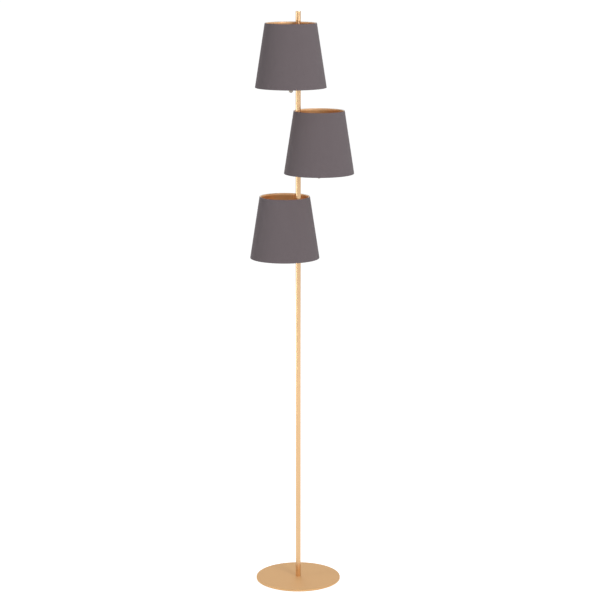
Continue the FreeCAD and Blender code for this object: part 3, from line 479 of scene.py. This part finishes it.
def makers():
    """The function that makes each finish, by the finish's name."""
    metal = settings("metal")
    return {
        "lacquered_gold": lambda name: lacquered_metal(name, metal.gold, 0.22),
        "dark_gold": lambda name: lacquered_metal(name, metal.dark_gold, 0.26),
        "powdered_gold": lambda name: powder_coat(name, metal.foot_gold),
        "zinc_steel": lambda name: plain_steel(name, metal.zinc),
        "cap_metal": lambda name: plain_steel(name, (0.72, 0.72, 0.70)),
        "woven_fabric": woven_fabric,
        "gold_foil": gold_foil,
        "pressed_felt": pressed_felt,
        "opal_glass": opal_glass,
        "black_thermoset": lambda name: moulded_plastic(name, (0.022, 0.022, 0.024)),
        "nylon": lambda name: moulded_plastic(name, (0.74, 0.72, 0.66)),
        "ceramic": lambda name: moulded_plastic(name, (0.72, 0.70, 0.64), 0.55),
        "lead_sheath": lambda name: moulded_plastic(name, (0.70, 0.69, 0.66), 0.36),
        "bush_plastic": lambda name: moulded_plastic(name, (0.50, 0.38, 0.22), 0.34),
        "coated_wire": lambda name: moulded_plastic(name, (0.72, 0.71, 0.67), 0.34),
    }


def finish(name):
    """The material of that name, made the first time that it is asked for."""
    return bpy.data.materials.get(name) or makers()[name](name)


NODE_FINISHES = {
    "base_plate": "powdered_gold", "base_felt": "pressed_felt", "base_screw": "zinc_steel",
    "foot_insert": "zinc_steel", "lower_tube": "lacquered_gold",
    "middle_tube": "lacquered_gold", "lower_link_tube": "lacquered_gold",
    "upper_link_tube": "lacquered_gold", "top_tube": "lacquered_gold",
    "top_cap": "lacquered_gold", "tube_coupler": "zinc_steel", "cable_bush": "bush_plastic",
    "pole_lead": "lead_sheath", "swivel_stems": "zinc_steel", "tube_inserts": "lacquered_gold",
    "swivel_washers": "nylon", "stop_pins": "zinc_steel", "swivel_hub": "lacquered_gold",
    "arm_tube": "lacquered_gold", "holder_block": "dark_gold", "head_lead": "lead_sheath",
    "holder_shell": "black_thermoset", "holder_body": "black_thermoset",
    "contact_insert": "ceramic", "shade_ring_nut": "black_thermoset",
    "shade_carrier": "coated_wire", "upper_ring": "coated_wire", "shade_cover": "woven_fabric",
    "shade_lining": "gold_foil", "lamp_cap": "cap_metal", "lamp_glass": "opal_glass",
}


def plain_name(node):
    """A node's name without the number of its head."""
    return node[:-2] if node[-2:] in ("_1", "_2", "_3") else node


# ------------------------------------------------------------------- measures

def middle_of(node):
    """The point in the middle of a node's underside, its radius and its height."""
    low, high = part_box(node)
    return (Vector(((low[0] + high[0]) / 2, (low[1] + high[1]) / 2, low[2])),
            (high[0] - low[0]) / 2, high[2] - low[2])


def ring_of(node):
    """A wire ring's radius to the middle of its wire, and the height of that middle."""
    centre, reach, thick = middle_of(node)
    return reach - thick / 2, centre.z + thick / 2


def arc(centre_radius, centre_height, size, start, end, steps):
    """Points on an arc, with its angles in degrees from the outward direction."""
    points = []
    for step in range(steps + 1):
        angle = radians(start + (end - start) * step / steps)
        points.append((centre_radius + size * cos(angle), centre_height + size * sin(angle)))
    return points


# ----------------------------------------------------------------- operators

class LAMP_OT_finishes(bpy.types.Operator):
    """Give every piece that keeps its CAD shape its finish"""
    bl_idname = "lamp.finishes"
    bl_label = "Metal, plastic and felt finishes"

    def execute(self, context):
        for node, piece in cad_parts.items():
            material = finish(NODE_FINISHES[plain_name(node)])
            piece.data.materials.clear()
            piece.data.materials.append(material)
        return {"FINISHED"}


ROUNDING_STEPS = 6
ROUNDING_SHARE = 0.49   # of the thickness, so that the two roundings of a rim don't meet


def cover_tree():
    """A tapered wall with rounded rims."""
    shape = Shape("fabric_cover", {
        "Lower radius": 0.1, "Upper radius": 0.07, "Height": 0.18, "Thickness": 0.001,
        "Segments": 192, "Cuts": 16, "Centre": (0.0, 0.0, 0.0), "Material": None})
    lower, upper = shape.given("Lower radius"), shape.given("Upper radius")
    high, thick = shape.given("Height"), shape.given("Thickness")
    corners = {"Point_1": (lower, 0.0), "Point_2": (upper, high),
               "Point_3": (shape.math("SUBTRACT", upper, thick), high),
               "Point_4": (shape.math("SUBTRACT", lower, thick), 0.0)}
    wall = shape.out("GeometryNodeCurvePrimitiveQuadrilateral", options={"mode": "POINTS"},
                     **{corner: shape.out("ShaderNodeCombineXYZ", *place, 0.0)
                        for corner, place in corners.items()})
    # The first and third sides are the long ones, and only they are divided.
    odd = shape.math("MODULO", shape.out("GeometryNodeInputIndex"), 2.0)
    cuts = shape.math("MULTIPLY", shape.math("SUBTRACT", 1.0, odd), shape.given("Cuts"))
    divided = shape.out("GeometryNodeSubdivideCurve", wall, Cuts=cuts)
    rounded = shape.out("GeometryNodeFilletCurve", divided, Count=ROUNDING_STEPS,
                        Radius=shape.math("MULTIPLY", thick, ROUNDING_SHARE),
                        options={"mode": "POLY"})
    return shape.close(turned(shape, rounded, shape.given("Segments"), lower))


SEAM_GRID = (15, 3, 33)   # vertices across, outward and up
SEAM_EDGE_POWER = 8.0     # the higher, the narrower the edge that thins out
SEAM_EDGE_DROP = 0.5      # share of the rise that is lost at the very edge


def seam_tree():
    """A strip of fabric on a tapered wall, from rim to rim, that tapers to its edges."""
    shape = Shape("lap_seam", {
        "Lower radius": 0.1, "Upper radius": 0.07, "Height": 0.18, "Width": 0.011,
        "Rise": 0.0005, "Sunk": 0.0006, "Direction": 1.57, "Centre": (0.0, 0.0, 0.0),
        "Material": None})
    block = shape.add("GeometryNodeMeshCube", (1.0, 1.0, 1.0), *SEAM_GRID)
    place = shape.add("ShaderNodeSeparateXYZ", shape.out("GeometryNodeInputPosition"))
    across, out, up = (place.outputs[axis] for axis in "XYZ")
    share = shape.math("ADD", up, 0.5)
    lower, upper = shape.given("Lower radius"), shape.given("Upper radius")
    wall = shape.math("ADD", lower, shape.math(
        "MULTIPLY", share, shape.math("SUBTRACT", upper, lower)))
    edge = shape.math("POWER", shape.math("ABSOLUTE", shape.math("MULTIPLY", across, 2.0)),
                      SEAM_EDGE_POWER)
    lift = shape.math("MULTIPLY", shape.math("MULTIPLY", shape.math("ADD", out, 0.5),
                                             shape.math("ADD", shape.given("Rise"),
                                                        shape.given("Sunk"))),
                      shape.math("SUBTRACT", 1.0,
                                 shape.math("MULTIPLY", edge, SEAM_EDGE_DROP)))
    radius = shape.math("SUBTRACT", shape.math("ADD", wall, lift), shape.given("Sunk"))
    width = shape.math("MULTIPLY", across, shape.given("Width"))
    angle = shape.math("ADD", shape.given("Direction"), shape.math("DIVIDE", width, wall))
    point = shape.out("ShaderNodeCombineXYZ",
                      shape.math("MULTIPLY", radius, shape.math("COSINE", angle)),
                      shape.math("MULTIPLY", radius, shape.math("SINE", angle)),
                      shape.math("MULTIPLY", share, shape.given("Height")))
    flat = shape.out("ShaderNodeCombineXYZ", width,
                     shape.math("MULTIPLY", share, shape.given("Height")), 0.0)
    mapped = shape.out("GeometryNodeStoreNamedAttribute", block.outputs["Mesh"], Name="UVMap",
                       Value=flat, options={"data_type": "FLOAT2", "domain": "CORNER"})
    bent = shape.out("GeometryNodeSetPosition", mapped, Position=point)
    return shape.close(shape.out("GeometryNodeFlipFaces", bent))


def turned_tree(closed=True):
    """Any outline turned about Z."""
    shape = Shape("turned_piece", {
        "Segments": 96, "Reach": 0.03, "Centre": (0.0, 0.0, 0.0), "Material": None})
    outline = shape.out("GeometryNodeMeshToCurve", shape.given("Geometry"))
    return shape.close(turned(shape, outline, shape.given("Segments"), shape.given("Reach"),
                              closed))


class LAMP_OT_covers(bpy.types.Operator):
    """Make the fabric covers with their rounded rims, and the glued seams at the back"""
    bl_idname = "lamp.covers"
    bl_label = "Fabric covers"

    SEAM_DIRECTIONS = {1: 80.0, 2: 97.0, 3: 72.0}   # degrees from +X, where +Y is the back

    def execute(self, context):
        shade = settings("shade")
        cover, seam = cover_tree(), seam_tree()
        for head, body in HEADS.items():
            node = "shade_cover_%d" % head
            centre, lower, high = middle_of(node)
            wall = {"Lower radius": lower, "Upper radius": upper_radius(head), "Height": high,
                    "Centre": centre, "Material": finish("woven_fabric")}
            grow("shade_fabric_%d" % head, cover,
                 {**wall, "Thickness": shade.fabric, "Segments": shade.segments}, body,
                 (node,))
            inset = shade.fabric / 2
            grow("shade_seam_%d" % head, seam,
                 {**wall, "Width": shade.seam_width, "Rise": shade.seam_rise,
                  "Height": high - 2 * inset, "Centre": centre + Vector((0, 0, inset)),
                  "Direction": radians(self.SEAM_DIRECTIONS[head])}, body)
        return {"FINISHED"}


def upper_radius(head):
    """Outer radius of a shade's upper rim, read from its cover."""
    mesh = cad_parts["shade_cover_%d" % head].data
    centre, _, high = middle_of("shade_cover_%d" % head)
    top = centre.z + high - LEVEL_TOLERANCE
    return max((vertex.co.xy - centre.xy).length for vertex in mesh.vertices
               if vertex.co.z > top)


class LAMP_OT_linings(bpy.types.Operator):
    """Make the gold linings, whose foil is rolled round the wire ring at each rim"""
    bl_idname = "lamp.linings"
    bl_label = "Gold linings"

    WALL_ROWS = 12
    BEAD_STEPS = 14
    BEAD_JOIN = 0.95              # of the bead's radius, where the wall leaves the bead
    UPPER_BEAD = (60.0, 250.0)    # degrees from the outward direction
    LOWER_BEAD = (110.0, 300.0)

    def execute(self, context):
        tree = turned_tree()
        for head, body in HEADS.items():
            self.lining(head, body, tree)
        return {"FINISHED"}

    def lining(self, head, body, tree):
        """One lining: up the wall, round the upper wire, down again, round the lower one."""
        sizes = settings("lining")
        centre, lower, high = middle_of("shade_cover_%d" % head)
        slope = (lower - upper_radius(head)) / high
        skin = settings("shade").fabric + settings("shade").foil_gap

        def wall(height, inset):
            """Radius at a height, with the inset measured square to the cover."""
            return lower - slope * height - inset * (1 + slope ** 2) ** 0.5

        upper_ring, upper_height = ring_of("upper_ring_%d" % head)
        upper_height -= centre.z
        carrier_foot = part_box("shade_carrier_%d" % head)[0][2] - centre.z
        lower_height = carrier_foot + sizes.lower_wire
        lower_ring = wall(lower_height, skin + sizes.lower_wire)
        above = upper_height - sizes.upper_bead * self.BEAD_JOIN
        below = lower_height + sizes.lower_bead * self.BEAD_JOIN
        heights = [below + (above - below) * row / self.WALL_ROWS
                   for row in range(self.WALL_ROWS + 1)]
        points = [(wall(height, skin), height) for height in heights]
        points += arc(upper_ring, upper_height, sizes.upper_bead, *self.UPPER_BEAD,
                      self.BEAD_STEPS)
        points += [(wall(height, skin + sizes.foil), height) for height in reversed(heights)]
        points += arc(lower_ring, lower_height, sizes.lower_bead, *self.LOWER_BEAD,
                      self.BEAD_STEPS)
        grow("gold_lining_%d" % head, tree,
             {"Segments": settings("shade").segments, "Reach": lower, "Centre": centre,
              "Material": finish("gold_foil")}, body,
             ("shade_lining_%d" % head,), profile_mesh("lining_outline_%d" % head, points))


class LAMP_OT_lamps(bpy.types.Operator):
    """Make the opal glass of the three lamps"""
    bl_idname = "lamp.lamps"
    bl_label = "Opal lamps"

    SEGMENTS = 96
    FLARE_STEPS = 16
    CROWN_STEPS = 30

    def execute(self, context):
        tree = turned_tree(closed=False)
        for head, body in HEADS.items():
            node = "lamp_glass_%d" % head
            centre, bulge, high = middle_of(node)
            grow("opal_glass_%d" % head, tree,
                 {"Segments": self.SEGMENTS, "Reach": bulge, "Centre": centre,
                  "Material": finish("opal_glass")}, body, (node,),
                 profile_mesh("glass_outline_%d" % head, self.outline(bulge, high), False))
        return {"FINISHED"}

    def outline(self, bulge, high):
        """From the neck's foot to the crown: a pear that flows from neck to sphere."""
        sizes = settings("glass")
        middle = high - bulge
        start, join = sizes.neck_height, middle - bulge * sin(sizes.join)
        span, lean = join - start, sin(sizes.join) / cos(sizes.join)
        widening = bulge * cos(sizes.join) - sizes.neck
        points = [(0.0, 0.0), (sizes.neck, 0.0), (sizes.neck, start)]
        # The flare is a cubic that leaves the neck upright and meets the sphere's slope.
        for step in range(1, self.FLARE_STEPS):
            share = step / self.FLARE_STEPS
            eased = share * share * (3 - 2 * share)
            bend = span * lean * (share ** 3 - share ** 2)
            points.append((sizes.neck + widening * eased + bend, start + span * share))
        points += arc(0.0, middle, bulge, -degrees(sizes.join), 90.0, self.CROWN_STEPS)
        # The crown lies exactly on the axis, where the arc's last point only nearly does.
        points[-1] = (0.0, high)
        return points


def rib_tree():
    """Small upright ribs in a ring."""
    shape = Shape("grip_ribs", {
        "Count": 36, "Radius": 0.02, "Width": 0.002, "Rise": 0.001, "Height": 0.005,
        "Centre": (0.0, 0.0, 0.0), "Material": None})
    places = shape.out("GeometryNodeMeshCircle", shape.given("Count"), shape.given("Radius"))
    rib = shape.add("GeometryNodeMeshCylinder", Vertices=8, Side_Segments=2, Fill_Segments=1,
                    Radius=0.5, Depth=1.0)
    size = shape.out("ShaderNodeCombineXYZ", shape.math("MULTIPLY", shape.given("Rise"), 2.0),
                     shape.given("Width"), shape.given("Height"))
    spot = shape.add("ShaderNodeSeparateXYZ", shape.out("GeometryNodeInputPosition"))
    facing = shape.out("ShaderNodeCombineXYZ", 0.0, 0.0,
                       shape.math("ARCTAN2", spot.outputs["Y"], spot.outputs["X"]))
    ribs = shape.out("GeometryNodeInstanceOnPoints", places, Instance=rib.outputs["Mesh"],
                     Rotation=facing, Scale=size)
    return shape.close(ribs)


def thread_tree():
    """A ridge that winds up a cylinder."""
    shape = Shape("screw_thread", {
        "Radius": 0.0195, "Ridge": 0.0007, "Pitch": 0.0028, "Height": 0.015,
        "Centre": (0.0, 0.0, 0.0), "Material": None})
    turns = shape.math("DIVIDE", shape.given("Height"), shape.given("Pitch"))
    radius = shape.given("Radius")
    path = shape.out("GeometryNodeCurveSpiral", Resolution=64, Rotations=turns,
                     Start_Radius=radius, End_Radius=radius, Height=shape.given("Height"))
    section = shape.out("GeometryNodeCurvePrimitiveCircle", Resolution=8,
                        Radius=shape.given("Ridge"))
    ridge = shape.out("GeometryNodeCurveToMesh", path, section, Fill_Caps=True)
    return shape.close(ridge)


class LAMP_OT_holders(bpy.types.Operator):
    """Add the grip ribs of the shade ring nuts and the outer thread of the lampholders"""
    bl_idname = "lamp.holders"
    bl_label = "Lampholder details"

    THREAD_SHARP = 60.0   # over the 45 degrees between the faces of the thread's section

    def execute(self, context):
        sizes = settings("holder")
        ribs, thread = rib_tree(), thread_tree()
        black = finish("black_thermoset")
        for head, body in HEADS.items():
            centre, _, high = middle_of("shade_ring_nut_%d" % head)
            holder_radius = middle_of("holder_shell_%d" % head)[1]
            neck = holder_radius + sizes.nut_wall
            lip = sizes.nut_lip
            grow("ring_nut_ribs_%d" % head, ribs,
                 {"Count": sizes.grip_ribs, "Radius": neck, "Width": sizes.rib_width,
                  "Rise": sizes.rib_rise, "Height": high - lip,
                  "Centre": centre + Vector((0, 0, lip + (high - lip) / 2)),
                  "Material": black}, body)
            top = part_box("holder_body_%d" % head)[1][2]
            start = centre.z + high + sizes.thread_ridge
            grow("holder_thread_%d" % head, thread,
                 {"Radius": holder_radius, "Ridge": sizes.thread_ridge,
                  "Pitch": sizes.thread_pitch, "Height": top - start - sizes.bare_end,
                  "Centre": Vector((centre.x, centre.y, start)), "Material": black},
                 body, sharp=self.THREAD_SHARP)
        return {"FINISHED"}


class LAMP_OT_stage(bpy.types.Operator):
    """Lay the pale floor and set the soft light and the camera"""
    bl_idname = "lamp.stage"
    bl_label = "Floor, light and camera"

    FLOOR_REACH = 60.0
    FLOOR_TONE = (0.7, 0.7, 0.7)
    FLOOR_GLOW = 0.78       # what the camera and reflections see on top of the lit floor
    SENSOR_WIDTH = 36.0     # millimetres
    CLIP_END = 200.0
    # Where each softbox stands, what it faces, and its width and height.
    SOFTBOXES = {
        "key": ((2.5, -3.6, 2.5), (0, 0, 1.1), (1.6, 1.6)),
        "side": ((-2.4, -0.9, 1.0), (0, 0, 0.9), (0.5, 2.0)),
        "back": ((-1.2, 3.9, 2.4), (0, 0, 1.0), (1.8, 1.8)),
    }

    def execute(self, context):
        sizes = settings("stage")
        self.floor()
        self.world(context, sizes.room)
        for name, (place, aim, size) in self.SOFTBOXES.items():
            light = self.softbox(name + "_softbox", place, aim, size, getattr(sizes, name))
            # The one behind only softens the dark side, and draws no line on the pole.
            light.visible_glossy = name != "back"
        self.camera(context, sizes)
        context.scene.view_settings.view_transform = "Standard"
        return {"FINISHED"}

    def floor(self):
        """A wide pale floor that glows to the camera and in reflections."""
        mesh = bpy.data.meshes.new("floor")
        reach = self.FLOOR_REACH
        mesh.from_pydata([(-reach, -reach, 0), (reach, -reach, 0), (reach, reach, 0),
                          (-reach, reach, 0)], [], [(0, 1, 2, 3)])
        floor = bpy.data.objects.new("floor", mesh)
        bpy.context.scene.collection.objects.link(floor)
        made = Shader("pale_floor")
        made.set(Roughness=1.0, Specular_IOR_Level=0.0, Base_Color=self.FLOOR_TONE)
        path = made.add("ShaderNodeLightPath")
        seen = made.math("MAXIMUM", path.outputs["Is Camera Ray"], path.outputs["Is Glossy Ray"])
        glow = made.out("ShaderNodeEmission", (1.0, 1.0, 1.0, 1.0),
                        made.math("MULTIPLY", seen, self.FLOOR_GLOW))
        both = made.out("ShaderNodeAddShader", made.principled.outputs["BSDF"], glow)
        made.plug(made.tree.nodes["Material Output"].inputs["Surface"], both)
        mesh.materials.append(made.material)

    def world(self, context, strength):
        """White to the camera and in reflections, and dimmer as light on the lamp."""
        world = bpy.data.worlds.new("white_room")
        world.use_nodes = True
        context.scene.world = world
        nodes = Nodes(world.node_tree)
        path = nodes.add("ShaderNodeLightPath")
        seen = nodes.math("MAXIMUM", path.outputs["Is Camera Ray"], nodes.math(
            "MAXIMUM", path.outputs["Is Glossy Ray"], path.outputs["Is Transmission Ray"]))
        background = nodes.tree.nodes["Background"]
        background.inputs["Color"].default_value = (1.0, 1.0, 1.0, 1.0)
        nodes.plug(background.inputs["Strength"],
                   nodes.out("ShaderNodeMapRange", seen, To_Min=strength, To_Max=1.0))

    def softbox(self, name, place, aim, size, power):
        """A rectangular light that faces a point."""
        light = bpy.data.lights.new(name, "AREA")
        light.shape = "RECTANGLE"
        light.size, light.size_y = size
        light.energy = power
        lamp = bpy.data.objects.new(name, light)
        lamp.location = place
        lamp.rotation_euler = (Vector(aim) - Vector(place)).to_track_quat("-Z", "Y").to_euler()
        bpy.context.scene.collection.objects.link(lamp)
        return lamp

    def camera(self, context, sizes):
        """A camera in front of the pole, shifted sideways to the photograph's column."""
        data = bpy.data.cameras.new("camera")
        data.sensor_width = self.SENSOR_WIDTH
        data.lens = sizes.focal_pixels / sizes.frame_pixels * data.sensor_width
        data.shift_x = 0.5 - sizes.axis_pixel / sizes.frame_pixels
        data.clip_end = self.CLIP_END
        camera = bpy.data.objects.new("camera", data)
        camera.location = (0.0, -sizes.camera_distance, sizes.camera_height)
        camera.rotation_euler = (pi / 2 - sizes.pitch, 0.0, 0.0)
        context.scene.collection.objects.link(camera)
        context.scene.camera = camera


class LAMP_PT_pieces(bpy.types.Panel):
    """Lists the steps that dress the lamp"""
    bl_idname = "LAMP_PT_pieces"
    bl_label = "Floor lamp"
    bl_space_type = "VIEW_3D"
    bl_region_type = "UI"
    bl_category = "Lamp"

    def draw(self, context):
        for operator in OPERATORS:
            self.layout.operator(operator.bl_idname)


GROUPS = {"lamp_shade": LAMP_PG_shade, "lamp_lining": LAMP_PG_lining,
          "lamp_metal": LAMP_PG_metal, "lamp_holder": LAMP_PG_holder,
          "lamp_glass": LAMP_PG_glass, "lamp_stage": LAMP_PG_stage}
OPERATORS = (LAMP_OT_stage, LAMP_OT_finishes, LAMP_OT_covers, LAMP_OT_linings, LAMP_OT_lamps,
             LAMP_OT_holders)


def register():
    for group in GROUPS.values():
        bpy.utils.register_class(group)
    for operator in OPERATORS:
        bpy.utils.register_class(operator)
    bpy.utils.register_class(LAMP_PT_pieces)
    for name, group in GROUPS.items():
        setattr(bpy.types.Scene, name, bpy.props.PointerProperty(type=group))


def unregister():
    for name in GROUPS:
        delattr(bpy.types.Scene, name)
    bpy.utils.unregister_class(LAMP_PT_pieces)
    for operator in reversed(OPERATORS):
        bpy.utils.unregister_class(operator)
    for group in GROUPS.values():
        bpy.utils.unregister_class(group)


def main():
    register()
    for operator in OPERATORS:
        name = operator.bl_idname.split(".")[1]
        getattr(bpy.ops.lamp, name)()


if __name__ == "__main__":
    main()
